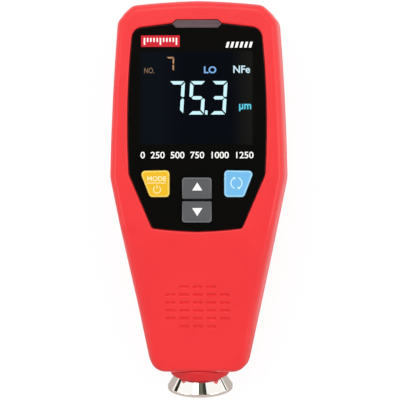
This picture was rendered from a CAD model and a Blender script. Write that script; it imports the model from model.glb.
"""Looks of a handheld coating thickness gauge that lies on its back with its face up.

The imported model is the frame, and every piece here is made in that frame. Sizes are in
millimetres until a mesh is made from them. +X is the gauge's right, +Y its display end.
"""

import logging
import math
import operator
from collections.abc import Iterable
from dataclasses import dataclass, field
from enum import Enum
from functools import reduce

import bmesh
import bpy
import numpy as np
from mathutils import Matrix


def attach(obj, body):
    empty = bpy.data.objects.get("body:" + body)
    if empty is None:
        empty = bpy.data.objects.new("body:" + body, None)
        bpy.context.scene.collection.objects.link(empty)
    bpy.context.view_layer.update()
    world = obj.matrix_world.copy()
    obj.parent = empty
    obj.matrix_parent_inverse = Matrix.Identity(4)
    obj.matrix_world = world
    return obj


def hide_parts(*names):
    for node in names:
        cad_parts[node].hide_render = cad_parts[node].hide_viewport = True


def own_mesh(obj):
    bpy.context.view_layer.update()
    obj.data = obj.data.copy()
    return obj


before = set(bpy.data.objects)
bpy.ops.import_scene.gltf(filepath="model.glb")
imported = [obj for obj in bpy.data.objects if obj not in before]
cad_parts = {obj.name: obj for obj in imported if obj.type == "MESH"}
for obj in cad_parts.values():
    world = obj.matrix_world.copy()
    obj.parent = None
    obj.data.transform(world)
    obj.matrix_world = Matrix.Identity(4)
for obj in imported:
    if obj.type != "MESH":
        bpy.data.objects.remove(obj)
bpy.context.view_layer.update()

MM = 0.001
TOP_Y = 69.05  # the display end
END_Y = -60.137  # the housing's probe end
PARTING = 17.0  # height at which the housings meet
FACE_Z = 35.0
LENS_Z = 34.6
LEDGE_Z = 32.8  # the window lies on it
LEDGE_UNDERSIDE = 31.6
FLANGE_LOW, FLANGE_HIGH = 30.3, 31.3  # of the keys and the light bar, under the ledge
GAP = 0.3  # between pieces that meet
WALL = 2.2
CANT = math.radians(14.0)  # between the probe's axis and the back
PROBE_CENTRE = (0.0, -66.292, 11.511)  # of the foot's rim
PROBE_AXIS = (0.0, math.cos(CANT), math.sin(CANT))
INK = 0.03  # thickness of a print or a lit segment
RING_POINTS = 640
CREASE_DEGREES = 32.0
VIEW_STEP = 0.3413  # what one of the camera's 400 steps spans on the panel
VIEW_MIDDLE_X = 196.75  # the step at which the gauge's middle plane shows
VIEW_MIDDLE_Y = -0.295  # the place that shows at the frame's middle
CAP_TOP = 38.0  # over everything, for cutters
UNDER = -2.0  # under everything, for cutters
SCREW_PLACES = ((20.0, 58.65), (11.3, -35.95))  # of the housing screws on the right
BOARD_POST_PLACES = ((24.0, 9.45), (14.0, -18.95))

log = logging.getLogger("gauge")


class Body(Enum):
    """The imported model's bodies."""

    GAUGE = "gauge_body"
    MODE = "mode_button"
    CYCLE = "cycle_button"
    UP = "up_button"
    DOWN = "down_button"
    TIP = "probe_tip"
    DOOR = "door"


class Slot(Enum):
    """The record's material slots."""

    RED = "red_housing"
    COLLAR = "dark_red_collar"
    PANEL = "black_panel"
    PIPE = "grey_pipe"
    YELLOW = "yellow_key"
    BLUE = "blue_key"
    GREY = "grey_key"
    DARK = "black_plastic"
    WHITE = "white_plastic"
    GLASS = "display_glass"
    RUBBER = "grey_rubber"
    BOARD = "board"
    STEEL = "steel"
    CHROME = "chromed_steel"
    COPPER = "copper_wire"
    SLEEVE = "battery_sleeve"


class Join(Enum):
    """How one closed form is joined with another."""

    ADD = "UNION"
    CUT = "DIFFERENCE"
    KEEP = "INTERSECT"


# Outlines, as arrays of (x, y) points


def unit(vectors: np.ndarray) -> np.ndarray:
    """The vectors at length 1."""
    return vectors / np.linalg.norm(vectors, axis=-1, keepdims=True)


def smooth_share(value: np.ndarray) -> np.ndarray:
    """3t² - 2t³ of the value held between 0 and 1."""
    held = np.clip(value, 0.0, 1.0)
    return held * held * (3 - 2 * held)


def rounded(path: list, steps: int = 12, closed: bool = True) -> np.ndarray:
    """Rounds the corners of a path.

    At a corner of radius r and half angle h the arc's centre lies r / sin(h) along the
    corner's bisector, and the arc starts r / tan(h) back along the path.

    Args:
        path: (x, y, radius) of each corner, with radius 0 for a sharp one.
        steps: Pieces that each arc is drawn in.
        closed: Whether the last corner leads back to the first.

    Returns:
        The path's points, as an (n, 2) array.
    """
    points = []
    turns = np.linspace(0.0, 1.0, steps + 1)[:, None]
    for i, (x, y, radius) in enumerate(path):
        here = np.array((x, y))
        if radius == 0 or (not closed and i in (0, len(path) - 1)):
            points.append(here[None, :])
            continue
        back = unit(np.array(path[i - 1][:2]) - here)
        ahead = unit(np.array(path[(i + 1) % len(path)][:2]) - here)
        half = math.acos(np.clip(back @ ahead, -1.0, 1.0)) / 2
        centre = here + unit(back + ahead) * radius / math.sin(half)
        start = here + back * radius / math.tan(half) - centre
        side = math.copysign(1.0, back[1] * ahead[0] - back[0] * ahead[1])
        angle = side * (math.pi - 2 * half) * turns
        across = np.array((-start[1], start[0]))
        points.append(centre + np.cos(angle) * start + np.sin(angle) * across)
    return np.concatenate(points)


def bowed(start: tuple, end: tuple, bow: float, pieces: int) -> list:
    """Sharp corners between two points, on the parabola 4·bow·s(1 - s) to the left."""
    first, last = np.array(start), np.array(end)
    side = unit(np.array((first[1] - last[1], last[0] - first[0])))
    shares = np.arange(1, pieces)[:, None] / pieces
    points = first + (last - first) * shares + side * bow * 4 * shares * (1 - shares)
    return [(*point, 0.0) for point in points.tolist()]


def mirrored(half: np.ndarray) -> np.ndarray:
    """A closed outline from its right half, which starts and ends on the Y axis."""
    return np.concatenate([half, half[-2:0:-1] * (-1, 1)])


def evenly(outline: np.ndarray, count: int) -> np.ndarray:
    """The closed outline drawn with this many points, spaced evenly along it."""
    ring = np.concatenate([outline, outline[:1]])
    along = np.concatenate([[0], np.cumsum(np.linalg.norm(np.diff(ring, axis=0), axis=1))])
    at = np.linspace(0.0, along[-1], count, endpoint=False)
    return np.column_stack([np.interp(at, along, ring[:, axis]) for axis in (0, 1)])


def grown(outline: np.ndarray, by: float) -> np.ndarray:
    """The outline moved outwards by a distance, with mitred corners."""
    edge = np.roll(outline, -1, axis=0) - outline
    area = (outline[:, 0] * np.roll(outline[:, 1], -1)).sum()
    area -= (outline[:, 1] * np.roll(outline[:, 0], -1)).sum()
    after = unit(np.column_stack([edge[:, 1], -edge[:, 0]])) * math.copysign(1.0, area)
    before = np.roll(after, 1, axis=0)
    shift = (before + after) / (1 + (before * after).sum(axis=1, keepdims=True))
    return outline + shift * by


def corners(left: float, right: float, lower: float, upper: float) -> list:
    """The four corners of a rectangle, from the lower left one round to the right."""
    return [(left, lower), (right, lower), (right, upper), (left, upper)]


def rectangle(width: float, length: float, radius: float, at: tuple = (0.0, 0.0)) -> np.ndarray:
    """A rounded rectangle about a middle."""
    half, deep = width / 2, length / 2
    around = [(x + at[0], y + at[1], radius) for x, y in corners(-half, half, -deep, deep)]
    return rounded(around, steps=6)


# Solid forms


@dataclass
class Form:
    """A mesh to be: points in millimetres, four-sided faces, any other faces, and the share
    of a paler rim's colour at each point."""

    points: np.ndarray
    quads: np.ndarray
    others: list = field(default_factory=list)
    rim: np.ndarray | None = None

    def __add__(self, added: "Form") -> "Form":
        """Both forms as one."""
        start = len(self.points)
        return Form(
            np.concatenate([self.points, added.points]),
            np.concatenate([self.quads, added.quads + start]),
            self.others + [np.asarray(face) + start for face in added.others],
        )

    def moved(self, by: tuple) -> "Form":
        """The form itself, after its points are moved."""
        self.points = self.points + by
        return self


def gathered(forms: Iterable[Form]) -> Form:
    """Several forms as one, in their order."""
    return reduce(operator.add, forms)


def lofted(rings: np.ndarray, looped: bool = False, strips: bool = False) -> Form:
    """A closed surface through rings of points, where row by row follows ring by ring.

    Args:
        rings: (rows, points, 3) array.
        looped: Whether the last ring leads back to the first, so nothing is capped.
        strips: Whether the ends are capped by strips between mirrored points, which
            suits a ring that isn't flat.

    Returns:
        The form.
    """
    rows, count, _ = rings.shape
    index = np.arange(rows * count).reshape(rows, count)
    beside = np.roll(index, -1, axis=1)
    last = rows if looped else rows - 1
    above, above_beside = np.roll(index, -1, axis=0)[:last], np.roll(beside, -1, axis=0)[:last]
    quads = np.stack([index[:last], beside[:last], above_beside, above], axis=-1).reshape(-1, 4)
    others = []
    if strips:
        half = np.arange(1, count // 2 - 1)
        for ring in (index[0], index[-1]):
            across = np.stack([ring[half], ring[half + 1], ring[-(half + 1)], ring[-half]], axis=-1)
            quads = np.concatenate([quads, across])
            others += [ring[[0, 1, -1]], ring[[count // 2 - 1, count // 2, count // 2 + 1]]]
    elif not looped:
        others = [index[0], index[-1]]
    return Form(rings.reshape(-1, 3), quads, others)


def stepped(outline: np.ndarray, rows: list) -> Form:
    """A solid over an outline that is moved outwards by an amount at each height.

    Args:
        outline: The outline that the amounts are counted from.
        rows: (outwards, height) pairs from the bottom up.

    Returns:
        The form, whose ends are flat.
    """
    rings = [np.column_stack([grown(outline, out), np.full(len(outline), z)]) for out, z in rows]
    return lofted(np.array(rings))


def prism(outline: np.ndarray, low: float, high: float) -> Form:
    """A straight-sided solid over an outline."""
    return stepped(outline, [(0.0, low), (0.0, high)])


def block(low: tuple, high: tuple) -> Form:
    """A box between two corners."""
    middle = ((low[0] + high[0]) / 2, (low[1] + high[1]) / 2)
    outline = rectangle(high[0] - low[0], high[1] - low[1], 0.0, middle)
    return prism(outline, low[2], high[2])


def turned(profile: np.ndarray, count: int = 96, closed: bool = True) -> Form:
    """A solid of revolution about Z: radius r and height h give (r cos a, r sin a, h).

    Args:
        profile: (radius, height) points. A closed one is a loop off the axis, and an
            open one starts and ends on the axis.
        count: Points round the axis.
        closed: Whether the profile is a loop.

    Returns:
        The form.
    """
    angle = np.linspace(0.0, math.tau, count, endpoint=False)
    radius, height = profile[:, 0, None], profile[:, 1, None] + 0 * angle
    rings = np.stack([radius * np.cos(angle), radius * np.sin(angle), height], axis=-1)
    form = lofted(rings, looped=closed)
    form.others = []
    return form


def cylinder(radius: float, low: float, high: float, at: tuple = (0.0, 0.0)) -> Form:
    """A round solid along Z."""
    profile = np.array([(0, low), (radius, low), (radius, high), (0, high)])
    return turned(profile, 48, closed=False).moved((*at, 0.0))


def wire(path: np.ndarray, radius: float) -> Form:
    """A round wire with flat ends: a circle carried along a path of (n, 3) points, square
    to it at each point."""
    along = unit(np.gradient(path, axis=0))
    aside = unit(np.cross(along, (0.31, 0.17, 0.93)))
    up = np.cross(along, aside)
    angle = np.linspace(0.0, math.tau, 10, endpoint=False)[None, :, None]
    rings = path[:, None, :] + radius * (np.cos(angle) * aside[:, None] + np.sin(angle) * up[:, None])
    return lofted(rings)


# The way from a form to a piece


def raw_object(name: str, form: Form) -> bpy.types.Object:
    """An object with the form's mesh in metres, merged and with faces outwards."""
    mesh = bpy.data.meshes.new(name)
    faces = form.quads.tolist() + [np.asarray(face).tolist() for face in form.others]
    mesh.from_pydata((form.points * MM).tolist(), [], faces)
    if form.rim is not None:
        mesh.attributes.new("rim", "FLOAT", "POINT").data.foreach_set("value", form.rim)
    work = bmesh.new()
    work.from_mesh(mesh)
    bmesh.ops.remove_doubles(work, verts=work.verts, dist=0.0002 * MM)
    bmesh.ops.dissolve_degenerate(work, edges=work.edges, dist=0.0001 * MM)
    bmesh.ops.recalc_face_normals(work, faces=work.faces)
    work.to_mesh(mesh)
    work.free()
    made = bpy.data.objects.new(name, mesh)
    bpy.context.scene.collection.objects.link(made)
    return made


def joined(first: bpy.types.Object, form: Form, how: Join) -> None:
    """Joins an object's mesh exactly with another closed form, and keeps the result."""
    other = raw_object("other", form)
    modifier = first.modifiers.new("join", "BOOLEAN")
    modifier.operation, modifier.solver, modifier.object = how.value, "EXACT", other
    graph = bpy.context.evaluated_depsgraph_get()
    result = bpy.data.meshes.new_from_object(first.evaluated_get(graph))
    first.modifiers.clear()
    before, first.data = first.data, result
    used = other.data
    bpy.data.objects.remove(other, do_unlink=True)
    for mesh in (before, used):
        bpy.data.meshes.remove(mesh)


def finished(
    made: bpy.types.Object,
    surface: bpy.types.Material,
    body: Body,
    replaced: tuple = (),
) -> bpy.types.Object:
    """Smooths an object, dresses it and puts it on its body. Edges sharper than
    CREASE_DEGREES stay sharp.

    Args:
        made: The object, in place.
        surface: Its material.
        body: What it moves with.
        replaced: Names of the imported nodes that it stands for.

    Returns:
        The same object.
    """
    mesh = made.data
    mesh.materials.clear()
    mesh.materials.append(surface)
    mesh.shade_smooth()
    mesh.set_sharp_from_angle(angle=math.radians(CREASE_DEGREES))
    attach(made, body.value)
    if replaced:
        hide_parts(*replaced)
    log.info("%s: %d faces on %s", made.name, len(mesh.polygons), body.value)
    return made


# Finishes


def linear(colour: str) -> tuple:
    """Linear RGBA of an sRGB hex colour."""
    share = np.array([int(colour[i : i + 2], 16) for i in (0, 2, 4)]) / 255
    value = np.where(share <= 0.04045, share / 12.92, ((share + 0.055) / 1.055) ** 2.4)
    return (*value.tolist(), 1.0)


def add(
    tree: bpy.types.NodeTree, kind: str, settings: dict | None = None, links: dict | None = None
) -> bpy.types.Node:
    """Adds one node to a tree.

    Args:
        tree: The node tree.
        kind: The node's type, without ShaderNode before it.
        settings: Values by input name or number, or by the node's own property.
        links: Output sockets by the input name or number that they lead to.

    Returns:
        The node.
    """
    node = tree.nodes.new("ShaderNode" + kind)
    for key, value in (settings or {}).items():
        if isinstance(key, int) or key in node.inputs:
            node.inputs[key].default_value = value
        else:
            setattr(node, key, value)
    for key, socket in (links or {}).items():
        tree.links.new(socket, node.inputs[key])
    return node


@dataclass(frozen=True)
class Finish:
    """A surface as its maker would describe it.

    colour drifts towards shade in patches of patch millimetres. grain is the size of the
    fine relief and relief its height, and the gloss varies with it.
    """

    name: str
    colour: str
    shade: str
    roughness: float
    patch: float = 14.0
    grain: float = 0.5
    relief: float = 0.003
    metallic: float = 0.0
    specular: float = 0.5
    coat: float = 0.0
    coat_roughness: float = 0.05
    rim: str = ""

    def colouring(self, tree: bpy.types.NodeTree, where: bpy.types.NodeSocket) -> bpy.types.NodeSocket:
        """The colour all over the surface, from soft patches of its two colours."""
        patches = {"Scale": 1 / (self.patch * MM), "Detail": 2.0}
        noise = add(tree, "TexNoise", patches, {"Vector": where}).outputs["Fac"]
        spread = add(tree, "MapRange", {"From Min": 0.35, "From Max": 0.65}, {"Value": noise})
        tones = {"data_type": "RGBA", 6: linear(self.colour), 7: linear(self.shade)}
        mix = add(tree, "Mix", tones, {0: spread.outputs[0]}).outputs[2]
        if not self.rim:
            return mix
        edge = add(tree, "Attribute", {"attribute_name": "rim"}).outputs["Fac"]
        rim = {"data_type": "RGBA", 7: linear(self.rim)}
        return add(tree, "Mix", rim, {0: edge, 6: mix}).outputs[2]

    def relieved(self, tree: bpy.types.NodeTree, where: bpy.types.NodeSocket) -> bpy.types.NodeSocket:
        """The height of the fine relief, from 0 to 1."""
        grain = {"Scale": 1 / (self.grain * MM), "Detail": 3.0}
        return add(tree, "TexNoise", grain, {"Vector": where}).outputs["Fac"]

    def material(self) -> bpy.types.Material:
        """The finish as a node material."""
        made = bpy.data.materials.new(self.name)
        made.use_nodes = True
        tree = made.node_tree
        shader = tree.nodes["Principled BSDF"]
        where = add(tree, "TexCoord").outputs["Object"]
        tree.links.new(self.colouring(tree, where), shader.inputs["Base Color"])
        height = self.relieved(tree, where)
        spread = {"To Min": self.roughness * 0.88, "To Max": min(1.0, self.roughness * 1.12)}
        gloss = add(tree, "MapRange", spread, {"Value": height})
        tree.links.new(gloss.outputs[0], shader.inputs["Roughness"])
        bump = add(tree, "Bump", {"Strength": 1.0, "Distance": self.relief * MM}, {"Height": height})
        tree.links.new(bump.outputs[0], shader.inputs["Normal"])
        shader.inputs["Metallic"].default_value = self.metallic
        shader.inputs["Specular IOR Level"].default_value = self.specular
        shader.inputs["Coat Weight"].default_value = self.coat
        shader.inputs["Coat Roughness"].default_value = self.coat_roughness
        return made


@dataclass(frozen=True)
class WindowFinish(Finish):
    """A clear acrylic window printed black behind, except over the display.

    area is the display's left, right, lower and upper edge. Its tone passes from display
    to middle over middle_x, and from middle to strip over strip_x.
    """

    display: str = "0B1016"
    middle: str = "070A10"
    strip: str = "171714"
    area: tuple = (-19.3, 19.0, 18.7, 50.6)
    middle_x: tuple = (-12.5, -5.0)
    strip_x: tuple = (11.5, 18.0)

    def colouring(self, tree: bpy.types.NodeTree, where: bpy.types.NodeSocket) -> bpy.types.NodeSocket:
        """Black, with the display's own tones in a rectangle by X and Y."""
        base = super().colouring(tree, where)
        parts = add(tree, "SeparateXYZ", None, {"Vector": where})
        left, right, lower, upper = self.area
        inside = None
        for axis, edge, way in ((0, left, 1), (0, right, -1), (1, lower, 1), (1, upper, -1)):
            soft = {"From Min": (edge - 0.4 * way) * MM, "From Max": (edge + 0.4 * way) * MM}
            share = add(tree, "MapRange", soft, {"Value": parts.outputs[axis]}).outputs[0]
            if inside is not None:
                share = add(tree, "Math", {"operation": "MULTIPLY"}, {0: inside, 1: share}).outputs[0]
            inside = share
        tone = None
        for colour, (start, end) in ((self.middle, self.middle_x), (self.strip, self.strip_x)):
            reach = {"From Min": start * MM, "From Max": end * MM}
            share = add(tree, "MapRange", reach, {"Value": parts.outputs[0]}).outputs[0]
            mixed = {"data_type": "RGBA", 6: linear(self.display), 7: linear(colour)}
            earlier = {} if tone is None else {6: tone}
            tone = add(tree, "Mix", mixed, {0: share, **earlier}).outputs[2]
        return add(tree, "Mix", {"data_type": "RGBA"}, {0: inside, 6: base, 7: tone}).outputs[2]


@dataclass(frozen=True)
class BrushedFinish(Finish):
    """Metal drawn or ground in one direction: its relief is stretched along that axis."""

    stretch: tuple = (1.0, 0.05, 1.0)

    def relieved(self, tree: bpy.types.NodeTree, where: bpy.types.NodeSocket) -> bpy.types.NodeSocket:
        """Fine lines along the stretched axis."""
        drawn = add(tree, "Mapping", {"Scale": self.stretch}, {"Vector": where})
        return super().relieved(tree, drawn.outputs[0])


@dataclass(frozen=True)
class BandedFinish(Finish):
    """A surface with even bands along one axis, such as a winding or a printed sleeve."""

    direction: str = "Y"
    pitch: float = 0.25

    def relieved(self, tree: bpy.types.NodeTree, where: bpy.types.NodeSocket) -> bpy.types.NodeSocket:
        """One wave to each pitch."""
        wave = {"bands_direction": self.direction, "Scale": 1 / (self.pitch * MM) / 3.183}
        return add(tree, "TexWave", wave, {"Vector": where}).outputs["Fac"]


@dataclass(frozen=True)
class LaminateFinish(Finish):
    """A glass-fibre circuit board: solder mask with copper tracks showing under it."""

    def colouring(self, tree: bpy.types.NodeTree, where: bpy.types.NodeSocket) -> bpy.types.NodeSocket:
        """Tracks as the edges of bricks 2 mm long."""
        tracks = {"Scale": 250.0, "Mortar Size": 0.05, "Color1": linear(self.colour)}
        tracks |= {"Color2": linear(self.colour), "Mortar": linear(self.shade)}
        return add(tree, "TexBrick", tracks, {"Vector": where}).outputs["Color"]


@dataclass(frozen=True)
class LitFinish:
    """Lit display segments: a plain glow over a dark ground."""

    name: str
    colour: str
    strength: float = 1.0

    def material(self) -> bpy.types.Material:
        """The finish as a node material, with a faint grain in its dark ground."""
        made = bpy.data.materials.new(self.name)
        made.use_nodes = True
        tree = made.node_tree
        shader = tree.nodes["Principled BSDF"]
        where = add(tree, "TexCoord").outputs["Object"]
        noise = add(tree, "TexNoise", {"Scale": 4000.0}, {"Vector": where})
        tones = {"data_type": "RGBA", 6: linear("050607"), 7: linear("0A0C0E")}
        ground = add(tree, "Mix", tones, {0: noise.outputs["Fac"]})
        tree.links.new(ground.outputs[2], shader.inputs["Base Color"])
        shader.inputs["Roughness"].default_value = 0.9
        shader.inputs["Specular IOR Level"].default_value = 0.1
        shader.inputs["Emission Color"].default_value = linear(self.colour)
        shader.inputs["Emission Strength"].default_value = self.strength
        return made


# Injection-moulded ABS with a fine eroded grain: even colour, soft wide highlights.
RED_ABS = Finish("moulded red ABS", "EF2C2F", "EC292D", 0.42, relief=0.002, specular=0.45)
# The collar is moulded in a deeper red and a little glossier.
DARK_RED_ABS = Finish("moulded dark red ABS", "D6262A", "CF2429", 0.4, relief=0.002, specular=0.3)
# Cast acrylic with a hard coat, black behind: dark and smooth, with one clean reflection.
BLACK_ACRYLIC = WindowFinish(
    "hard-coated black acrylic", "0B0B09", "0D0C0A", 0.16, grain=2.0, relief=0.0, specular=0.15
)
# Smoked polycarbonate over the lamps: grey, half gloss.
SMOKED_PIPE = Finish(
    "smoked polycarbonate", "605154", "67565B", 0.3, patch=5.0, relief=0.001, specular=0.2
)
# Two-shot silicone-soft keys: even colour, with a paler rounded rim.
YELLOW_KEY = Finish("moulded yellow key", "E8B61D", "EAB820", 0.4, specular=0.2, rim="F4D468")
BLUE_KEY = Finish("moulded blue key", "6DB4E3", "71B7E5", 0.4, specular=0.25, rim="A2D8F2")
GREY_KEY = Finish("moulded grey key", "565759", "5A5B5D", 0.42, specular=0.3, rim="727477")
# Pad-printed inks on keys and window: matt, opaque.
WHITE_INK = Finish("pad-printed white ink", "FBFBF8", "F6F6F2", 0.55, patch=2.0)
ICE_INK = Finish("pad-printed pale blue ink", "D6F1FC", "D0EDFA", 0.55, patch=2.0)
CREAM_INK = Finish("pad-printed cream ink", "FBEBB4", "F9E7AC", 0.55, patch=2.0)
RED_INK = Finish("screen-printed red ink", "CE1A2A", "C61826", 0.5, patch=2.0, specular=0.2)
# Lit segments of the colour display.
PALE_BLUE_LIGHT = LitFinish("pale blue display light", "CFF8FF")
CYAN_LIGHT = LitFinish("cyan display light", "5FCFE6")
BLUE_LIGHT = LitFinish("blue display light", "7FB2EC")
ICE_LIGHT = LitFinish("ice blue display light", "CBEAF6")
ORANGE_LIGHT = LitFinish("orange display light", "C08F6C")
BROWN_LIGHT = LitFinish("dim orange display light", "8C7058")
# Bright chrome over turned steel: a mirror with hardly any haze.
CHROME = Finish("chromed turned steel", "FBF9F3", "F8F5EF", 0.05, relief=0.0, metallic=1.0)
# Ground hard steel of the plunger and the screws.
GROUND_STEEL = BrushedFinish(
    "ground steel", "C4C5C8", "B4B6BA", 0.28, grain=0.15, relief=0.001, metallic=1.0
)
SPRING_STEEL = Finish("drawn spring steel", "A9ABB0", "9A9CA2", 0.3, patch=3.0, metallic=1.0)
NICKEL = Finish("nickel-plated steel strip", "CFCBC2", "C2BEB4", 0.22, patch=3.0, metallic=1.0)
ENAMELLED_COPPER = BandedFinish(
    "enamelled copper winding", "B4612F", "A65527", 0.3, relief=0.03, metallic=1.0, pitch=0.2
)
# Glass-filled nylon and other moulded inner parts.
BLACK_NYLON = Finish("moulded black nylon", "1A1B1D", "222427", 0.5, relief=0.004)
WHITE_NYLON = Finish("moulded white nylon", "E8E6DF", "DEDCD4", 0.5, relief=0.003)
GREY_RUBBER = BandedFinish("layered grey rubber", "8B8E91", "7F8285", 0.75, relief=0.01, pitch=0.4)
DISPLAY_GLASS = Finish("dark display glass", "10161B", "131A20", 0.08, relief=0.0)
SOLDER_MASK = LaminateFinish("green solder mask", "17512D", "2A7A47", 0.35, relief=0.001)
CELL_SLEEVE = Finish("shrunk battery sleeve", "25292E", "2B3036", 0.3, patch=4.0, relief=0.001)
PVC_LEAD = Finish("extruded black PVC", "16171A", "1D1F22", 0.45, patch=3.0, relief=0.002)


# The housing


@dataclass(frozen=True)
class HousingShape:
    """The outline, face and back that the housings share."""

    crown: tuple = (22.7, 67.25)
    shoulder: tuple = (28.15, 61.15)
    waist: tuple = (30.8, 7.55)
    end: tuple = (16.6, END_Y + 0.3)
    bend_y: float = -9.95
    bend_length: float = 8.0
    back_middle: float = 4.0
    side_pull: float = 0.34
    top_pull: float = 0.105
    end_pull: float = 0.045
    side_fall: float = 0.17
    back_rise: float = 3.0
    back_rise_length: float = 39.0
    lean_from: float = 18.0
    lean_length: float = 12.0

    def outline(self) -> np.ndarray:
        """The outline at the parting plane, from the middle of the display end."""
        top, middle = (0.0, TOP_Y - 0.28), (0.0, END_Y)
        half = [
            (*top, 0.0),
            *bowed(top, self.crown, 0.25, 12),
            (*self.crown, 5.0),
            *bowed(self.crown, self.shoulder, 0.3, 2),
            (*self.shoulder, 5.0),
            *bowed(self.shoulder, self.waist, 0.4, 4),
            (*self.waist, 14.0),
            *bowed(self.waist, self.end, 0.15, 9),
            (*self.end, 6.2),
            *bowed(self.end, middle, 0.3 / 8, 2),
            (*middle, 0.0),
        ]
        return evenly(mirrored(rounded(half, closed=False)), RING_POINTS)

    def face(self, y: np.ndarray) -> np.ndarray:
        """The face's height: level, then a parabola that turns into the probe's cant."""
        past = np.maximum(0.0, self.bend_y - y)
        length = self.bend_length
        fall = np.where(past < length, past * past / (2 * length), past - length / 2)
        return FACE_Z - math.tan(CANT) * fall

    def edge(self) -> tuple:
        """Insets and depths of the rounded edge, from the side up to the face.

        It is a superellipse: for an angle a from 0 to a quarter turn the inset is
        3.6 - 3 cos(a)^(2/p) and the depth 5.5 - 5.5 sin(a)^(2/p), with p 2.4.
        """
        angle = np.linspace(0.0, math.pi / 2, 22)
        return 3.6 - 3.0 * np.cos(angle) ** (2 / 2.4), 5.5 - 5.5 * np.sin(angle) ** (2 / 2.4)

    def front_form(self, out: float) -> Form:
        """The front housing's outside as a solid, made bigger by a distance."""
        rings = [self.ring(-out, PARTING - 0.5), self.ring(-out, 17.4)]
        rings += [self.under_face(i - out, d - out) for i, d in zip(*self.edge())]
        return lofted(self.canted(np.array(rings)), strips=True)

    def face_at(self, flat: np.ndarray) -> np.ndarray:
        """The face's height at (x, y) points. The slope's middle is flat, and past two
        lines that close in towards the probe its sides fall away by side_fall to 1, with
        a soft crease: the fall is side_fall · (√(d² + 1.5²) - 1.5) at a distance d."""
        line = np.interp(flat[:, 1], (-57.0, -13.0), (15.4, 17.5))
        past = np.maximum(0.0, np.abs(flat[:, 0]) - line)
        share = smooth_share((self.bend_y + 2 - flat[:, 1]) / 8)
        return self.face(flat[:, 1]) - self.side_fall * (np.hypot(past, 1.5) - 1.5) * share

    def back(self, y: np.ndarray) -> np.ndarray:
        """The back's height, which rises by back_rise over the last back_rise_length."""
        length = self.back_rise_length
        return self.back_rise * np.maximum(0.0, END_Y + length - y) / length

    def canted(self, points: np.ndarray) -> np.ndarray:
        """The points with the probe end leaned over, square to the probe's axis."""
        lean = smooth_share((END_Y + self.lean_from - points[..., 1]) / self.lean_length)
        moved = points.copy()
        moved[..., 1] -= math.tan(CANT) * (points[..., 2] - PARTING) * lean
        return moved

    def ring(self, inset: float, height: np.ndarray | float) -> np.ndarray:
        """The outline moved in, at a height, before it leans over."""
        outline = grown(self.outline(), -inset)
        return np.column_stack([outline, np.broadcast_to(height, len(outline))])

    def under_face(self, inset: float, depth: float) -> np.ndarray:
        """The outline moved in, at a depth under the face."""
        outline = grown(self.outline(), -inset)
        return np.column_stack([outline, self.face_at(outline) - depth])

    def rear_form(self, inset: float, floor: float, start: float, rows: int = 24) -> Form:
        """The rear housing's form, whose sides follow a quarter of an ellipse inwards.

        Args:
            inset: How far the outline is moved in.
            floor: Height of the bottom over the back.
            start: Height of the upper edge.
            rows: Rings down the side.

        Returns:
            The form.
        """
        outline = grown(self.outline(), -inset)
        angle = np.linspace(0.0, math.pi / 2, rows)[:, None]
        fall, pull = np.sin(angle), 1 - np.cos(angle)
        lengthwise = np.where(outline[:, 1] > self.back_middle, self.top_pull, self.end_pull)
        x = outline[:, 0] * (1 - self.side_pull * pull)
        y = self.back_middle + (outline[:, 1] - self.back_middle) * (1 - lengthwise * pull)
        z = PARTING - (PARTING - self.back(y) - floor) * fall
        z[0] = start
        return lofted(self.canted(np.stack([x, y, z], axis=-1)), strips=True)


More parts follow.
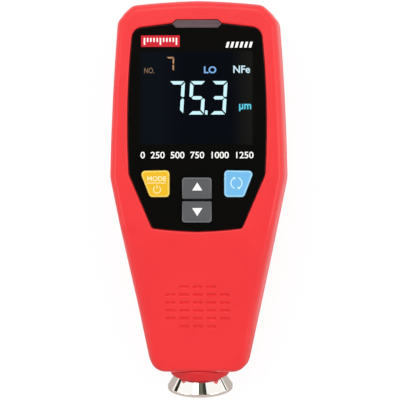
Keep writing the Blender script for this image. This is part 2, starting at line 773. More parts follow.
@dataclass(frozen=True)
class Probe:
    """The turned pieces on the probe's axis. Their profiles are (radius, distance from the
    foot's rim, corner radius)."""

    tip_radius: float = 1.42
    spring_turns: int = 6
    spring_start: float = 19.35
    spring_length: float = 11.4
    spring_radius: float = 2.9
    spring_seat: float = 31.1

    @staticmethod
    def placed(form: Form) -> Form:
        """A form about Z set on the probe's axis, with its zero at the foot's rim."""
        below = np.array((0.0, math.sin(CANT), -math.cos(CANT)))
        x, y, s = form.points.T[:, :, None]
        form.points = PROBE_CENTRE + x * (1.0, 0.0, 0.0) + y * below + s * PROBE_AXIS
        return form

    def foot(self) -> Form:
        """The flared foot: a band, a straight flare and a hub, hollow under its roof. Two
        points on the flare keep its shading straight up to its rounded ends."""
        profile = [
            (11.4, 0.0, 0.18),
            (11.4, 1.05, 0.3),
            (11.265, 1.261, 0.0),
            (8.435, 5.689, 0.0),
            (8.3, 5.9, 0.3),
            (8.3, 6.3, 0.1),
            (5.2, 6.3, 0.1),
            (5.2, 17.0, 0.2),
            (3.7, 17.0, 0.2),
            (3.7, 5.0, 0.2),
            (7.2, 5.0, 0.5),
            (10.3, 0.0, 0.15),
        ]
        return self.placed(turned(rounded(profile, 6), 160))

    def collar(self) -> Form:
        """The collar, with a rounded rim round the recess that takes the foot, before its
        back is cut to follow the housing's rounded end."""
        profile = [
            (8.6, 5.65, 0.2),
            (10.3, 5.65, 0.35),
            (10.3, 8.5, 0.2),
            (9.9, 9.2, 0.1),
            (7.4, 9.2, 0.1),
            (7.4, 10.1, 0.2),
            (5.5, 10.1, 0.2),
            (5.5, 6.6, 0.1),
            (8.6, 6.6, 0.1),
        ]
        return self.placed(turned(rounded(profile, 6), 160))

    def plunger(self) -> Form:
        """The plunger: a rounded tip, a cone, a waist for the coil, a flange and a guide."""
        arc = np.linspace(0.0, 1.35, 10)
        tip = np.column_stack([self.tip_radius * np.sin(arc), -0.8 + 1.4 * (1 - np.cos(arc))])
        body = [
            (1.4, 0.6, 0.1),
            (1.4, 1.6, 0.3),
            (3.4, 3.0, 0.3),
            (3.4, 5.3, 0.1),
            (2.0, 5.3, 0.05),
            (2.0, 10.9, 0.05),
            (3.4, 10.9, 0.1),
            (3.4, 17.3, 0.05),
            (3.75, 17.3, 0.1),
            (3.75, 18.7, 0.1),
            (2.0, 18.7, 0.1),
            (2.0, 21.9, 0.2),
            (0.0, 21.9, 0.0),
        ]
        rest = rounded(body, 5, closed=False)
        return self.placed(turned(np.concatenate([tip[:-1], rest]), 64, closed=False))

    def spring(self) -> Form:
        """The return spring: a coil whose turns close up at both ends."""
        share = np.linspace(0.0, 1.0, self.spring_turns * 40 + 1)
        rise = share - np.sin(math.tau * share) * 0.6 / math.tau
        angle = math.tau * self.spring_turns * share
        round_x, round_y = self.spring_radius * np.cos(angle), self.spring_radius * np.sin(angle)
        path = np.column_stack([round_x, round_y, self.spring_start + self.spring_length * rise])
        return self.placed(wire(path, 0.35))

    def build(self) -> None:
        """Makes and dresses the pieces on the probe's axis."""
        foot = raw_object("probe_foot_turned", self.foot())
        finished(foot, CHROME.material(), Body.GAUGE, ("probe_foot",))
        collar = raw_object("probe_collar_moulded", self.collar())
        shape = HousingShape()
        for outside in (shape.front_form(0.12), shape.rear_form(-0.12, -0.12, PARTING, 14)):
            shell = raw_object("shell", outside)
            joined(shell, self.placed(cylinder(7.5, 5.0, 14.0)), Join.CUT)
            joined(collar, as_form(shell), Join.CUT)
            bpy.data.objects.remove(shell, do_unlink=True)
        finished(collar, DARK_RED_ABS.material(), Body.GAUGE, ("probe_collar",))
        plunger = raw_object("probe_plunger_ground", self.plunger())
        finished(plunger, GROUND_STEEL.material(), Body.TIP, ("probe_plunger",))
        spring = raw_object("probe_spring_wound", self.spring())
        finished(spring, SPRING_STEEL.material(), Body.GAUGE, ("probe_spring",))
        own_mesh(spring)


def lens_outline() -> np.ndarray:
    """The window's outline, from the middle of its upper edge."""
    half = [
        (0.0, 60.0, 0.0),
        (8.4, 60.0, 0.0),
        (21.9, 58.35, 3.8),
        *bowed((21.9, 58.35), (23.2, 8.45), 1.0, 8),
        (23.2, 8.45, 4.0),
        (15.3, -9.85, 1.2),
        *bowed((15.3, -9.85), (0.0, -11.0), 0.2, 3),
        (0.0, -11.0, 0.0),
    ]
    return evenly(mirrored(rounded(half, closed=False)), RING_POINTS)


def light_bar_outline() -> np.ndarray:
    """The light bar's hexagon, with its tips on the window's upper edge."""
    right = [(7.1, 58.8), (8.4, 60.0), (7.1, 61.25)]
    around = right + [(-x, y) for x, y in reversed(right)]
    return rounded([(x, y, 0.25) for x, y in around], 5)


@dataclass
class Housings:
    """The front housing, the rear housing and the battery door."""

    shape: HousingShape = field(default_factory=HousingShape)
    dash_rows: tuple = (3, 5, 5, 5, 5, 3)
    dash_size: tuple = (3.3, 0.75)
    dash_pitch: tuple = (4.7, 2.75)
    dash_middle: float = -37.15
    door_end: float = -5.15
    door_half: float = 14.0
    rail: float = 1.2
    catch_half: float = 3.0
    face_rows: int = 56
    lip: float = 0.55
    ledge: float = 3.4
    boss_radius: float = 3.1
    screw_bore: float = 1.35
    tub_half: float = 11.25
    tub_ends: tuple = (-1.15, 49.85)
    tub_height: float = 13.3
    tub_wall: float = 1.5
    holder_start: float = 11.4
    holder_length: float = 23.0

    def front(self) -> Form:
        """The front housing as one loop of rings: up its outside, over the rounded edge,
        across the face, down the window's recess, under the ledge and down its inside.

        The face's rings pass evenly from the housing's outline to that of the recess.
        """
        shape = self.shape
        rings = [shape.ring(1.0, 16.87), shape.ring(1.0, 17.15), shape.ring(0.3, 17.15)]
        rings += [shape.ring(0.08, 17.2), shape.ring(0.0, 17.4)]
        edge = shape.under_face(0.6, 5.5)
        rings += [rings[4] + (edge - rings[4]) * share for share in np.linspace(0.15, 0.85, 6)]
        rings += [shape.under_face(i, d) for i, d in zip(*shape.edge())]
        lens = lens_outline()
        outer = rings[-1][:, :2]
        inner = grown(lens, GAP + self.lip)
        for share in np.linspace(0.0, 1.0, self.face_rows)[1:]:
            flat = outer + (inner - outer) * share
            rings.append(np.column_stack([flat, shape.face_at(flat)]))
        for angle in np.linspace(0.0, math.pi / 2, 6)[1:]:
            flat = grown(lens, GAP + self.lip * (1 - math.sin(angle)))
            height = shape.face(flat[:, 1]) - 0.4 * (1 - math.cos(angle))
            rings.append(np.column_stack([flat, height]))
        for out, height in ((GAP, LEDGE_Z), (-1.2, LEDGE_Z), (-1.2, LEDGE_UNDERSIDE)):
            flat = grown(lens, out)
            rings.append(np.column_stack([flat, np.full(len(flat), height)]))
        start, end = rings[-1][:, :2], grown(shape.outline(), -4.2)
        for share in np.linspace(0.0, 1.0, 10)[1:]:
            flat = start + (end - start) * share
            rings.append(np.column_stack([flat, shape.face(flat[:, 1]) - self.ceiling(flat[:, 1])]))
        low = grown(shape.outline(), -2.8)
        rings.append(np.column_stack([low, shape.face(low[:, 1]) - self.ceiling(low[:, 1]) - 1.4]))
        rings.append(shape.ring(2.8, 16.87))
        return lofted(shape.canted(np.array(rings)), looped=True)

    def ceiling(self, y: np.ndarray) -> np.ndarray:
        """Thickness of the front wall: deep over the ledge, thinner down the slope."""
        share = np.clip((self.shape.bend_y - y) / (2 * self.shape.bend_length), 0.0, 1.0)
        return self.ledge + (WALL - self.ledge) * share

    def dashes(self) -> Form:
        """Cutters for the blind dashes: a rounded floor, steep walls and a soft lip."""
        steps = [(-0.12, 0.6), (-0.03, 0.54), (0.0, 0.4), (0.02, 0.15), (0.09, 0.05)]
        steps += [(0.2, 0.01), (0.3, -0.05), (0.3, -1.0)]
        cutters = []
        for row, count in enumerate(self.dash_rows):
            y = self.dash_middle + self.dash_pitch[1] * ((len(self.dash_rows) - 1) / 2 - row)
            for column in range(count):
                x = self.dash_pitch[0] * (column - (count - 1) / 2)
                outline = rectangle(*self.dash_size, 0.33, (x, y))
                rings = []
                for out, depth in steps:
                    flat = grown(outline, out)
                    rings.append(np.column_stack([flat, self.shape.face(flat[:, 1]) - depth]))
                cutters.append(lofted(self.shape.canted(np.array(rings))))
        return gathered(cutters)

    def posts(self) -> Form:
        """Screw bosses and board posts, from the parting plane into the front wall."""
        places = [(x, y, self.boss_radius, 17.15) for x, y in SCREW_PLACES]
        places += [(x, y, 2.6, 25.3) for x, y in BOARD_POST_PLACES]
        posts, bore = [], self.screw_bore
        for x, y, radius, low in places:
            top = float(self.shape.face(np.array(y)) - self.ceiling(np.array(y))) + 0.6
            for side in (-1, 1):
                profile = np.array([(bore, low), (radius, low), (radius, top), (bore, top)])
                posts.append(turned(profile, 40).moved((side * x, y, 0.0)))
        return gathered(posts)

    def structure(self) -> list:
        """What stands up inside the rear housing: the floor over the door's rails, the
        battery tub, the screw bosses and the probe holder's saddles."""
        floor = self.door_half + self.rail + GAP + 1.5
        bosses = [
            cylinder(self.boss_radius, UNDER, 16.85, (side * x, y))
            for x, y in SCREW_PLACES
            for side in (-1, 1)
        ]
        wall, (low, high) = self.tub_wall, self.tub_ends
        half, roof = self.tub_half + wall, self.tub_height + wall
        solids = [
            block((-floor, self.door_end - 4.5, UNDER), (floor, TOP_Y, 3.9)),
            block((-half, low - wall, UNDER), (half, high + wall, roof)),
            gathered(bosses),
        ]
        for share in (0.35, 0.8):
            along = self.holder_start + share * self.holder_length
            _, y, z = (c + along * a for c, a in zip(PROBE_CENTRE, PROBE_AXIS))
            solids.append(block((-5.95, y - 0.75, UNDER), (5.95, y + 0.75, z - 3.5)))
        return solids

    def rear_cuts(self) -> list:
        """What is cut from the rear housing: the door's channel, its rail grooves and
        catch slot, the inside of the tub, and the screw holes."""
        start, beyond, end = self.door_end - GAP, TOP_Y + 2.0, self.door_end
        channel, groove = self.door_half + GAP, self.door_half + self.rail + GAP
        catch, bore = self.catch_half + GAP, self.screw_bore
        half, (low, high) = self.tub_half, self.tub_ends
        profile = [(0.0, UNDER), (2.45, UNDER), (2.45, 6.0), (bore, 6.0), (bore, 17.3), (0.0, 17.3)]
        holes = [
            turned(np.array(profile), 48, closed=False).moved((side * x, y, 0.0))
            for x, y in SCREW_PLACES
            for side in (-1, 1)
        ]
        return [
            block((-channel, start, UNDER), (channel, beyond, 2.4)),
            block((-groove, start, 0.9), (groove, beyond, 2.4)),
            block((-catch, end - 1.8, 0.9), (catch, end, 2.4)),
            block((-half, low, UNDER), (half, high, self.tub_height)),
            gathered(holes),
        ]

    def rear(self) -> bpy.types.Object:
        """The rear housing: its form less its hollow, with its structure and its cuts."""
        shape = self.shape
        outside = shape.rear_form(0.0, 0.0, PARTING - GAP / 2, 30)
        shell = raw_object("rear_housing_moulded", outside)
        joined(shell, shape.rear_form(WALL, WALL, PARTING + 0.6, 14), Join.CUT)
        for solid in self.structure():
            part = raw_object("structure", solid)
            joined(part, shape.rear_form(WALL / 2, WALL / 2, PARTING + GAP, 14), Join.KEEP)
            kept = as_form(part)
            bpy.data.objects.remove(part, do_unlink=True)
            joined(shell, kept, Join.ADD)
        for cut in self.rear_cuts():
            joined(shell, cut, Join.CUT)
        joined(shell, Probe.placed(cylinder(7.3, 11.1, 36.4)), Join.CUT)
        joined(shell, Probe.placed(cylinder(7.7, 5.3, 11.7)), Join.CUT)
        return shell

    def door(self) -> bpy.types.Object:
        """The battery door: a plate that follows the back's curve, with rails, a catch
        and thumb grooves."""
        end, half, catch = self.door_end, self.door_half, self.catch_half
        rails = half + self.rail
        door = raw_object("battery_door_moulded", block((-half, end, UNDER), (half, 130.0, 2.1)))
        joined(door, block((-rails, end + 0.5, 1.2), (rails, 132.0, 2.08)), Join.ADD)
        joined(door, block((-catch, end - 1.5, 1.2), (catch, end + 1.5, 2.06)), Join.ADD)
        joined(door, self.shape.rear_form(0.3, 0.3, PARTING, 30), Join.KEEP)
        steps = [(0.25, UNDER), (0.25, 0.3), (0.0, 0.5), (-0.1, 0.8)]
        middles = [end + 4.0 + 1.6 * step + 0.4 for step in range(5)]
        grooves = [stepped(rectangle(12.0, 0.8, 0.39, (0.0, y)), steps) for y in middles]
        joined(door, gathered(grooves), Join.CUT)
        return door

    def build(self) -> None:
        """Makes and dresses the housings and the door."""
        red = RED_ABS.material()
        front = raw_object("front_housing_moulded", self.front())
        joined(front, self.dashes(), Join.CUT)
        joined(front, Probe.placed(cylinder(7.7, 5.3, 11.7)), Join.CUT)
        joined(front, prism(grown(light_bar_outline(), GAP), 28.0, CAP_TOP), Join.CUT)
        finished(front, red, Body.GAUGE, ("front_housing",))
        posts = raw_object("front_housing_posts", self.posts())
        finished(posts, red, Body.GAUGE)
        finished(self.rear(), red, Body.GAUGE, ("rear_housing",))
        finished(self.door(), red, Body.DOOR, ("battery_door",))


def as_form(made: bpy.types.Object) -> Form:
    """An object's mesh as a form."""
    points = np.empty(len(made.data.vertices) * 3)
    made.data.vertices.foreach_get("co", points)
    faces = [np.array(polygon.vertices) for polygon in made.data.polygons]
    return Form(points.reshape(-1, 3) / MM, np.empty((0, 4), int), faces)


# The panel


@dataclass(frozen=True)
class Box:
    """A rectangle on the panel: left, right, lower and upper edge."""

    left: float
    right: float
    lower: float
    upper: float

    @staticmethod
    def from_view(left: float, right: float, upper: float, lower: float) -> "Box":
        """The rectangle whose edges lie at these places in the camera's 400 by 400 frame,
        where one step is VIEW_STEP on the panel."""
        x = [(value - VIEW_MIDDLE_X) * VIEW_STEP for value in (left, right)]
        y = [VIEW_MIDDLE_Y - (value - 200.0) * VIEW_STEP for value in (lower, upper)]
        return Box(*x, *y)

    def fitted(self, points: np.ndarray) -> np.ndarray:
        """Points stretched so that they just fill the rectangle."""
        low, high = points.min(axis=0)[:2], points.max(axis=0)[:2]
        size = np.array((self.right - self.left, self.upper - self.lower))
        flat = (points[:, :2] - low) / (high - low) * size + (self.left, self.lower)
        return np.column_stack([flat, points[:, 2]])


def lettering(words: str, box: Box, low: float, bold: float = 0.0) -> Form:
    """Raised printed words that fill a box.

    Args:
        words: The words or numbers.
        box: Their place.
        low: Height of their underside.
        bold: How much each stroke is thickened, as a share of the letters' size.

    Returns:
        The form, as thick as INK.
    """
    curve = bpy.data.curves.new("lettering", "FONT")
    curve.body, curve.offset, curve.resolution_u, curve.extrude = words, bold, 5, 0.01
    text = bpy.data.objects.new("lettering", curve)
    bpy.context.scene.collection.objects.link(text)
    graph = bpy.context.evaluated_depsgraph_get()
    mesh = bpy.data.meshes.new_from_object(text.evaluated_get(graph))
    points = np.empty(len(mesh.vertices) * 3)
    mesh.vertices.foreach_get("co", points)
    points = points.reshape(-1, 3)
    points[:, 2] = low + INK * (points[:, 2] > 0)
    faces = [np.array(polygon.vertices) for polygon in mesh.polygons]
    bpy.data.objects.remove(text, do_unlink=True)
    bpy.data.curves.remove(curve)
    bpy.data.meshes.remove(mesh)
    return Form(box.fitted(points), np.empty((0, 4), int), faces)


def plates(outlines: list, low: float) -> Form:
    """Flat plates, as thick as INK, over several outlines."""
    return gathered(prism(np.asarray(outline, float), low, low + INK) for outline in outlines)


@dataclass(frozen=True)
class SegmentDigit:
    """One lit segment digit, a 3, 5 or 7, drawn upright and then slanted.

    The strokes are mitred where they meet, with a thin gap between them.
    """

    shown: str
    left: float
    lower: float
    width: float
    height: float
    stroke: float
    slit: float
    slant: float

    def outlines(self) -> list:
        """The outline of each lit segment."""
        w, h, t, g = self.width, self.height, self.stroke, self.slit
        m, s, k = h / 2, t / 2, g / 2
        shapes = {
            "a": [(k, h), (w - k, h), (w - t - k, h - t), (t + k, h - t)],
            "b": [(w, h - g), (w, m + g), (w - s, m + k), (w - t, m + s + k), (w - t, h - t - g)],
            "c": [(w, m - g), (w, g), (w - t, t + g), (w - t, m - s - k), (w - s, m - k)],
            "d": [(k, 0), (w - k, 0), (w - t - k, t), (t + k, t)],
            "f": [(0, m + g), (0, h - g), (t, h - t - g), (t, m + s + k), (s, m + k)],
            "g": [(s + k, m), (t + k, m + s), (w - t - k, m + s)]
            + [(w - s - k, m), (w - t - k, m - s), (t + k, m - s)],
        }
        lit = {"7": "abc", "5": "afgcd", "3": "abgcd"}[self.shown]
        outlines = []
        for name in lit:
            points = np.array(shapes[name], float)
            points[:, 0] += self.slant * points[:, 1]
            outlines.append(points + (self.left, self.lower))
        return outlines


@dataclass
class Panel:
    """The black window, the light bar over it, and what shows and is printed on it."""

    ink_z: float = LENS_Z - 0.01
    bar_pitch: float = 1.58
    bar_width: float = 0.85
    bar_lean: float = 0.55
    tick_pitch: float = 1.1

    def lens(self) -> bpy.types.Object:
        """The window: a plate with a softly rounded upper edge and its openings."""
        rows = [(-0.1, 33.1), (0.0, 33.2), (0.0, LENS_Z - 0.12), (-0.02, LENS_Z - 0.05)]
        rows += [(-0.05, LENS_Z - 0.02), (-0.12, LENS_Z), (-0.3, LENS_Z)]
        lens = raw_object("panel_window", stepped(lens_outline(), rows))
        for outline in (*KeyOutline.openings(), light_bar_outline()):
            joined(lens, prism(grown(outline, GAP), 30.0, CAP_TOP), Join.CUT)
        return lens

    def light_bar(self) -> Form:
        """The light pipe: a hexagon with a flange under the ledge and a rounded top."""
        rows = [(0.0, 26.3), (0.0, FLANGE_LOW), (0.8, FLANGE_LOW), (0.8, FLANGE_HIGH)]
        rows += [(0.0, FLANGE_HIGH), (0.0, 34.45)]
        rows += [(-0.05, 34.6), (-0.16, 34.71), (-0.3, 34.75), (-0.45, 34.75)]
        return stepped(grown(light_bar_outline(), 0.12), rows)

    def reading(self) -> list:
        """The large slanted digits 7, 5 and 3 and the point between the last two."""
        size = {"width": 5.3, "height": 11.45, "stroke": 1.15, "slit": 0.46, "slant": 0.06}
        outlines = []
        for digit, left in (("7", -10.05), ("5", -2.95), ("3", 4.5)):
            outlines += SegmentDigit(digit, left, 28.95, **size).outlines()
        outlines.append(rectangle(0.85, 1.4, 0.1, (3.2, 29.65)))
        return outlines

    def ruler_mark(self) -> tuple:
        """A plain red field, and white ruler ticks that hang in it."""
        red = Box.from_view(140.6, 179.4, 34.8, 46.3)
        middle = ((red.left + red.right) / 2, (red.lower + red.upper) / 2)
        ticks = []
        for step in range(11):
            x = red.left + 1.15 + step * self.tick_pitch
            length = 2.4 if step % 5 == 0 else 1.4
            ticks.append(rectangle(0.5, length, 0.05, (x, red.upper - 0.85 - length / 2)))
        return [rectangle(red.right - red.left, red.upper - red.lower, 0.1, middle)], ticks

    def slanted_bars(self) -> list:
        """Plain slanted white bars at the panel's upper right."""
        box = Box.from_view(225.5, 253.5, 41.5, 47.3)
        width, lean = self.bar_width, self.bar_lean
        outlines = []
        for step in range(6):
            x = box.left + step * self.bar_pitch
            lower = [(x, box.lower), (x + width, box.lower)]
            outlines.append(lower + [(x + width + lean, box.upper), (x + lean, box.upper)])
        return outlines

    def scale_row(self) -> Form:
        """A row of plain numbers under the display."""
        box = Box.from_view(140.0, 253.5, 151.6, 158.3)
        return lettering("0  250  500  750  1000  1250", box, self.ink_z, bold=0.012)

    def build(self) -> None:
        """Makes and dresses the window, the light bar, the display and the prints."""
        finished(self.lens(), BLACK_ACRYLIC.material(), Body.GAUGE, ("lens_panel",))
        bar = raw_object("light_bar_pipe", self.light_bar())
        finished(bar, SMOKED_PIPE.material(), Body.GAUGE, ("light_bar",))
        self.display()
        self.prints()

    def display(self) -> None:
        """Makes and dresses what is lit: the reading, the counter and the short words."""
        count = SegmentDigit("7", -10.5, 43.73, 2.6, 4.95, 0.5, 0.26, 0.02).outlines()
        lit = [
            ("display_reading", plates(self.reading(), self.ink_z), PALE_BLUE_LIGHT),
            ("display_count", plates(count, self.ink_z), ORANGE_LIGHT),
        ]
        words = [
            ("display_count_label", "NO.", (143.8, 153.8, 67.3, 72.8), 0.0, BROWN_LIGHT),
            ("display_low", "LO", (203.8, 216.2, 66.0, 73.0), 0.028, BLUE_LIGHT),
            ("display_metals", "NFe", (233.2, 250.0, 65.3, 72.8), 0.02, ICE_LIGHT),
            ("display_unit", "µm", (239.0, 251.2, 103.6, 111.0), 0.024, CYAN_LIGHT),
        ]
        for name, word, view, bold, light in words:
            lit.append((name, lettering(word, Box.from_view(*view), self.ink_z, bold), light))
        for name, form, light in lit:
            finished(raw_object(name, form), light.material(), Body.GAUGE)

    def prints(self) -> None:
        """Makes and dresses what is printed on the window."""
        white = WHITE_INK.material()
        red_field, ticks = self.ruler_mark()
        printed = [
            ("panel_scale_numbers", self.scale_row(), white),
            ("panel_slanted_bars", plates(self.slanted_bars(), self.ink_z), white),
            ("panel_red_field", plates(red_field, self.ink_z), RED_INK.material()),
            ("panel_ruler_ticks", plates(ticks, self.ink_z + 0.02), white),
        ]
        for name, form, surface in printed:
            finished(raw_object(name, form), surface, Body.GAUGE)


# The keys


class KeyOutline:
    """The keys' outlines, from the sizes of the gauge's panel."""

    @staticmethod
    def side(mirror: bool) -> np.ndarray:
        """The cycle key on the right, or the mode key on the left."""
        around = [(9.4, 0.7), (16.1, 0.7), (19.6, 9.68), (9.4, 9.86)]
        outline = rounded([(x, y, 1.3) for x, y in around], 10)
        return outline[::-1] * (-1, 1) if mirror else outline

    @staticmethod
    def arrow(above: bool) -> np.ndarray:
        """The up key or the down key, rounded on the side away from the other."""
        low, high = (0.1, 7.35) if above else (-8.0, -0.75)
        radii = (0.45, 0.45, 1.0, 1.0) if above else (1.0, 1.0, 0.45, 0.45)
        around = zip(corners(-5.05, 5.05, low, high), radii)
        return rounded([(x, y, radius) for (x, y), radius in around], 10)

    @staticmethod
    def openings() -> list:
        """The openings' outlines, less their play. One takes both arrow keys."""
        arrows = rounded([(x, y, 1) for x, y in corners(-5.05, 5.05, -8.0, 7.35)], 10)
        return [KeyOutline.side(False), KeyOutline.side(True), arrows]


@dataclass
class Keys:
    """The four keys and their printed symbols."""

    top: float = 35.5
    ink_z: float = 35.49

    def cap(self, outline: np.ndarray, flange: float, paired: bool) -> Form:
        """A key cap: a flange, straight walls, and an edge rounded by a quarter circle.

        Args:
            outline: The cap's outline.
            flange: How far the flange stands out.
            paired: Whether the cap is one of the two arrow keys, whose facing edges
                have no pale rim.

        Returns:
            The form, with the share of the rim's colour at each point.
        """
        angle = np.linspace(0.0, math.pi / 2, 9)
        radius = 0.3 if paired else 0.35
        edge = list(zip(radius * (np.cos(angle) - 1), self.top - radius * (1 - np.sin(angle))))
        rows = [(0.0, FLANGE_LOW), (flange, FLANGE_LOW), (flange, FLANGE_HIGH), (0.0, FLANGE_HIGH)]
        rows += [(0.0, 34.0), *edge, (-0.42 if paired else -0.75, self.top)]
        form = stepped(outline, rows)
        # the share of the rim's colour, row by row up the edge
        shares = [0.0] * 5 + [0.55, 0.7, 0.85, 1.0, 1.0, 1.0, 1.0, 0.95, 0.7, 0.0]
        outer = smooth_share((np.abs(outline[:, 1] + 0.325) - 1.0) / 0.5)
        form.rim = np.outer(shares, outer if paired else np.ones(len(outline))).ravel()
        return form

    def mode_word(self) -> Form:
        """The word on the mode key. Its M is drawn here, since the font's own M breaks
        when its strokes are thickened."""
        first = Box.from_view(147.0, 151.6, 176.3, 181.0)
        shape = [(0, 0), (0, 1), (0.2, 1), (0.5, 0.5), (0.8, 1), (1, 1), (1, 0), (0.76, 0)]
        shape += [(0.76, 0.6), (0.5, 0.16), (0.24, 0.6), (0.24, 0)]
        letter = first.fitted(np.column_stack([shape, np.zeros(len(shape))]))[:, :2]
        rest = lettering("ODE", Box.from_view(152.2, 166.0, 176.2, 181.1), self.ink_z, bold=0.022)
        return plates([letter], self.ink_z) + rest

    def power_mark(self) -> list:
        """The power symbol: a broken ring and a bar through its gap."""
        angle = np.radians(np.linspace(125.0, 415.0, 40))
        ring = np.column_stack([np.cos(angle), np.sin(angle)])
        outline = np.concatenate([ring * 1.36, ring[::-1] * 1.08])
        x, y = (-13.64, 3.25)
        return [outline + (x, y), rectangle(0.3, 1.3, 0.05, (x, y + 0.95))]

    def cycle_mark(self) -> list:
        """Two arrows that circle each other."""
        outlines, centre = [], (13.58, 5.5)
        for turn in (0.0, 180.0):
            angle = np.radians(np.linspace(122.0, 250.0, 24) + turn)
            ring = np.column_stack([np.cos(angle), np.sin(angle)])
            outlines.append(np.concatenate([ring * 2.05, ring[::-1] * 1.73]) + centre)
            tip = np.radians(np.array([122.0, 96.0, 122.0]) + turn)
            radii = np.array([2.4, 1.88, 1.35])[:, None]
            outlines.append(np.column_stack([np.cos(tip), np.sin(tip)]) * radii + centre)
        return outlines

    def arrow_mark(self, middle: float, up: bool) -> list:
        """A plain triangle."""
        base, tip = (-1.35, 1.4) if up else (1.35, -1.4)
        return [np.array([(-1.75, base), (1.75, base), (0.0, tip)]) + (0.15, middle)]

    def build(self) -> None:
        """Makes and dresses the keys and their symbols."""
        plan = [
            ("mode", KeyOutline.side(True), 0.8, YELLOW_KEY, Body.MODE, Slot.YELLOW),
            ("cycle", KeyOutline.side(False), 0.8, BLUE_KEY, Body.CYCLE, Slot.BLUE),
            ("up", KeyOutline.arrow(True), 0.3, GREY_KEY, Body.UP, Slot.GREY),
            ("down", KeyOutline.arrow(False), 0.3, GREY_KEY, Body.DOWN, Slot.GREY),
        ]
        for name, outline, flange, finish, body, slot in plan:
            cap = raw_object(f"{name}_key_cap", self.cap(outline, flange, finish is GREY_KEY))
            finished(cap, finish.material(), body, (f"{name}_key",))
        white, cream, ice = WHITE_INK.material(), CREAM_INK.material(), ICE_INK.material()
        rule = Box.from_view(147.0, 166.0, 182.6, 183.4)
        line = rectangle(rule.right - rule.left, 0.25, 0.05, (-13.8, (rule.lower + rule.upper) / 2))
        word = raw_object("mode_key_word", self.mode_word())
        finished(word, cream, Body.MODE)
        marks = [
            ("mode_key_marks", [line, *self.power_mark()], cream, Body.MODE, Slot.YELLOW),
            ("cycle_key_arrows", self.cycle_mark(), ice, Body.CYCLE, Slot.BLUE),
            ("up_key_arrow", self.arrow_mark(4.3, True), white, Body.UP, Slot.GREY),
            ("down_key_arrow", self.arrow_mark(-4.4, False), white, Body.DOWN, Slot.GREY),
        ]
        for name, outlines, surface, body, slot in marks:
            finished(raw_object(name, plates(outlines, self.ink_z)), surface, body)


# The inside


@dataclass
class Inside:
    """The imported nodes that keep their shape, and the two battery cells."""

    cell_aside: float = 5.6
    cell_height: float = 7.65
    cell_starts: tuple = (4.25, 44.45)

    def dress(self) -> None:
        """Gives each inner node its finish, in its own material slots."""
        plan = {
            SOLDER_MASK: ["circuit_board"],
            BLACK_NYLON: [
                *(f"{key}_switch" for key in ("mode", "cycle", "up", "down")),
                "buzzer",
                "processor_chip",
                "measuring_chip",
                "display_frame",
                "probe_holder",
            ],
            WHITE_NYLON: [
                "indicator_lamp_left",
                "indicator_lamp_right",
                "probe_socket",
                "backlight_plate",
            ],
            DISPLAY_GLASS: ["display_glass"],
            GREY_RUBBER: ["display_connector"],
            GROUND_STEEL: [
                *(f"{key}_plunger" for key in ("mode", "cycle", "up", "down")),
                *(f"board_screw_{number}" for number in range(1, 5)),
                *(f"housing_screw_{number}" for number in range(1, 5)),
            ],
            NICKEL: ["contact_bridge", "contact_plate_left", "contact_plate_right"],
            SPRING_STEEL: ["battery_spring_left", "battery_spring_right"],
            ENAMELLED_COPPER: ["sensing_coil"],
            PVC_LEAD: ["probe_lead"],
        }
        for finish, names in plan.items():
            surface = finish.material()
            for name in names:
                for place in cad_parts[name].material_slots:
                    place.material = surface
            log.info("%s dresses %d nodes", finish.name, len(names))

    def cell(self, side: int) -> tuple:
        """A cell's sleeve and its metal ends, along Y. The left one's button is at +Y."""
        sleeve = [(5.0, 0.25), (5.25, 0.25), (5.25, 43.2), (4.7, 43.2), (4.7, 42.8), (5.0, 42.8)]
        button = [(0.0, 44.5), (2.75, 44.5), (2.75, 43.5), (4.6, 43.3), (4.9, 42.9)]
        button += [(4.9, 0.0), (0.0, 0.0)]
        forms = []
        for profile, closed in ((sleeve, True), (button, False)):
            around = [(r, s, 0.12 if r > 0 else 0.0) for r, s in profile]
            form = turned(rounded(around, 4, closed=closed), 64, closed=closed)
            x, y, s = form.points.T
            start = self.cell_starts[0] if side < 0 else self.cell_starts[1]
            aside, height = side * self.cell_aside, self.cell_height
            form.points = np.column_stack([x + aside, start - side * s, y + height])
            forms.append(form)
        return tuple(forms)

    def build(self) -> None:
        """Dresses the nodes and makes the cells."""
        self.dress()
        for side, name in ((-1, "left"), (1, "right")):
            sleeve, ends = self.cell(side)
            made = raw_object(f"cell_sleeve_{name}", sleeve)
            finished(made, CELL_SLEEVE.material(), Body.GAUGE, (f"battery_cell_{name}",))
            finished(raw_object(f"cell_ends_{name}", ends), NICKEL.material(), Body.GAUGE)


# The studio


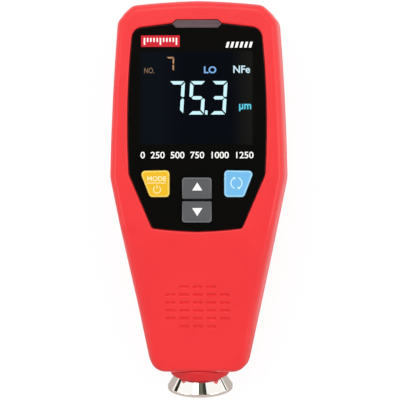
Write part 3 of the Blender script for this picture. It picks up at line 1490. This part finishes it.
@dataclass
class Studio:
    """A white floor and surroundings, soft lights, and the camera over the gauge."""

    camera_at: tuple = (0.0411, -0.0003, 0.817)
    camera_tilt: float = math.radians(2.93)
    focal_length: float = 206.0
    surround: float = 0.58

    def seen(
        self, tree: bpy.types.NodeTree, direct: float = 1.0, reflected: float = 1.0
    ) -> bpy.types.NodeSocket:
        """Shares by the kind of ray, and 0 for the light that falls on things.

        Args:
            tree: The node tree.
            direct: The share for a ray from the camera.
            reflected: The share for a reflection or a refraction.

        Returns:
            The share's socket.
        """
        path, larger = add(tree, "LightPath"), {"operation": "MAXIMUM"}
        kinds = (("Camera", direct), ("Glossy", reflected), ("Transmission", reflected))
        shares = []
        for kind, share in kinds:
            scaled = {"operation": "MULTIPLY", 1: share}
            shares.append(add(tree, "Math", scaled, {0: path.outputs[f"Is {kind} Ray"]}).outputs[0])
        either = add(tree, "Math", larger, {0: shares[0], 1: shares[1]}).outputs[0]
        return add(tree, "Math", larger, {0: either, 1: shares[2]}).outputs[0]

    def surroundings(self) -> None:
        """White to look at, and a soft even light on the gauge. Reflections see it fade to
        a warm grey beyond the probe."""
        world = bpy.data.worlds.new("white surroundings")
        world.use_nodes = True
        tree = world.node_tree
        tree.nodes.clear()
        light = add(tree, "Background", {"Color": (1, 1, 1, 1), "Strength": self.surround})
        way = add(tree, "SeparateXYZ", None, {"Vector": add(tree, "TexCoord").outputs["Generated"]})
        fade = {"From Min": -0.35, "From Max": -0.05}
        level = add(tree, "MapRange", fade, {"Value": way.outputs["Y"]})
        straight = add(tree, "LightPath").outputs["Is Camera Ray"]
        level = add(tree, "Math", {"operation": "MAXIMUM"}, {0: level.outputs[0], 1: straight})
        tones = {"data_type": "RGBA", 6: linear("CDC1BD"), 7: (1, 1, 1, 1)}
        tone = add(tree, "Mix", tones, {0: level.outputs[0]})
        white = add(tree, "Background", {"Strength": 1.0}, {"Color": tone.outputs[2]})
        both = {0: self.seen(tree), 1: light.outputs[0], 2: white.outputs[0]}
        mix = add(tree, "MixShader", None, both)
        add(tree, "OutputWorld", None, {"Surface": mix.outputs[0]})
        bpy.context.scene.world = world

    def floor(self) -> None:
        """A white table top that keeps a faint shadow of the gauge."""
        outline = rectangle(6000.0, 6000.0, 0.0)
        table = raw_object("floor", prism(outline, -10.0, -0.02))
        made = bpy.data.materials.new("white table top")
        made.use_nodes = True
        tree = made.node_tree
        tree.nodes.clear()
        board = add(tree, "BsdfDiffuse", {"Color": (0.9, 0.9, 0.9, 1)})
        glow = add(tree, "Emission", {"Strength": 1.03})
        share = self.seen(tree, 0.88, 0.45)
        mix = add(tree, "MixShader", None, {0: share, 1: board.outputs[0], 2: glow.outputs[0]})
        add(tree, "OutputMaterial", None, {"Surface": mix.outputs[0]})
        table.data.materials.append(made)

    def lamp(self, name: str, at: tuple, size: float, power: float) -> None:
        """A square soft light that faces the gauge."""
        light = bpy.data.lights.new(name, "AREA")
        light.size, light.energy = size, power
        made = bpy.data.objects.new(name, light)
        made.location = at
        away = np.array(at) / np.linalg.norm(at)
        made.rotation_euler = (math.acos(away[2]), 0.0, math.atan2(away[0], -away[1]))
        bpy.context.scene.collection.objects.link(made)

    def card(self, name: str, outline: list, low: float, high: float, colour: str) -> None:
        """An evenly toned card that only reflections see.

        Args:
            name: The card's name.
            outline: Its (x, y) corners.
            low: Height of its underside.
            high: Height of its upper side.
            colour: Its tone.
        """
        card = raw_object(name, prism(np.array(outline, float), low, high))
        made = bpy.data.materials.new(name)
        made.use_nodes = True
        tree = made.node_tree
        tree.nodes.clear()
        tone = add(tree, "Emission", {"Color": linear(colour), "Strength": 1.0})
        add(tree, "OutputMaterial", None, {"Surface": tone.outputs[0]})
        card.data.materials.append(made)
        card.visible_camera = card.visible_diffuse = card.visible_shadow = False
        card.visible_transmission = False

    def camera(self) -> None:
        """A long lens straight over the panel, leaning a little to the right."""
        data = bpy.data.cameras.new("camera")
        data.lens, data.sensor_width = self.focal_length, 36.0
        data.clip_start, data.clip_end = 0.01, 20.0
        made = bpy.data.objects.new("camera", data)
        made.location = self.camera_at
        made.rotation_euler = (0.0, self.camera_tilt, 0.0)
        bpy.context.scene.collection.objects.link(made)
        bpy.context.scene.camera = made

    def build(self) -> None:
        """Sets up the camera, the lights, the floor and the cards."""
        self.camera()
        self.surroundings()
        self.floor()
        self.lamp("key light", (-0.1, 0.75, 1.2), size=0.9, power=7.2)
        self.lamp("right light", (0.9, -0.1, 0.7), size=0.6, power=3.8)
        self.lamp("left light", (-0.9, -0.1, 0.7), size=0.6, power=2.7)
        self.cards()

    def cards(self) -> None:
        """The cards: dark ones over the gauge and beyond it, for the window and the foot's
        middle stripe, and ones on the table for the foot's stripes and outer parts."""
        left_wall = [(-158, -16), (-142, 17), (-142.5, 17.2), (-158.5, -15.8)]
        right_near = [(13, -79), (50, -79), (47, -53), (43, -42), (12, -54)]
        plan = [
            ("card_overhead", corners(-480, 560, -330, 330), 900, 900.1, "0D0D0D"),
            ("card_beyond", corners(185, 400, 360, 660), 880, 880.1, "38372E"),
            ("card_beyond_soft", corners(-80, 185, 360, 660), 880, 880.1, "66685A"),
            ("card_left", [(-85, -17), (-95, -39), (-156, -12), (-144, 14)], 0.3, 0.4, "32271B"),
            ("card_left_wall", left_wall, 0.3, 28, "32271B"),
            ("card_left_near", [(-13, -79), (-54, -79), (-52, -40), (-13, -52)], 0.3, 0.4, "C2B8B5"),
            ("card_right", [(55, -30), (65, -48), (92, -37), (82, -17)], 0.3, 0.4, "2E241A"),
            ("card_right_near", right_near, 0.3, 0.4, "C2B8B4"),
            ("card_front", corners(-900, 900, -700, -80), 0.3, 0.4, "C8BDB9"),
        ]
        for name, outline, low, high, colour in plan:
            self.card(name, outline, low, high, colour)


def main() -> None:
    """Builds the studio and every sub-assembly."""
    logging.basicConfig(level=logging.INFO, format="%(message)s")
    bpy.context.scene.view_settings.view_transform = "Standard"
    Studio().build()
    Housings().build()
    Panel().build()
    Keys().build()
    Probe().build()
    Inside().build()


if __name__ == "__main__":
    main()
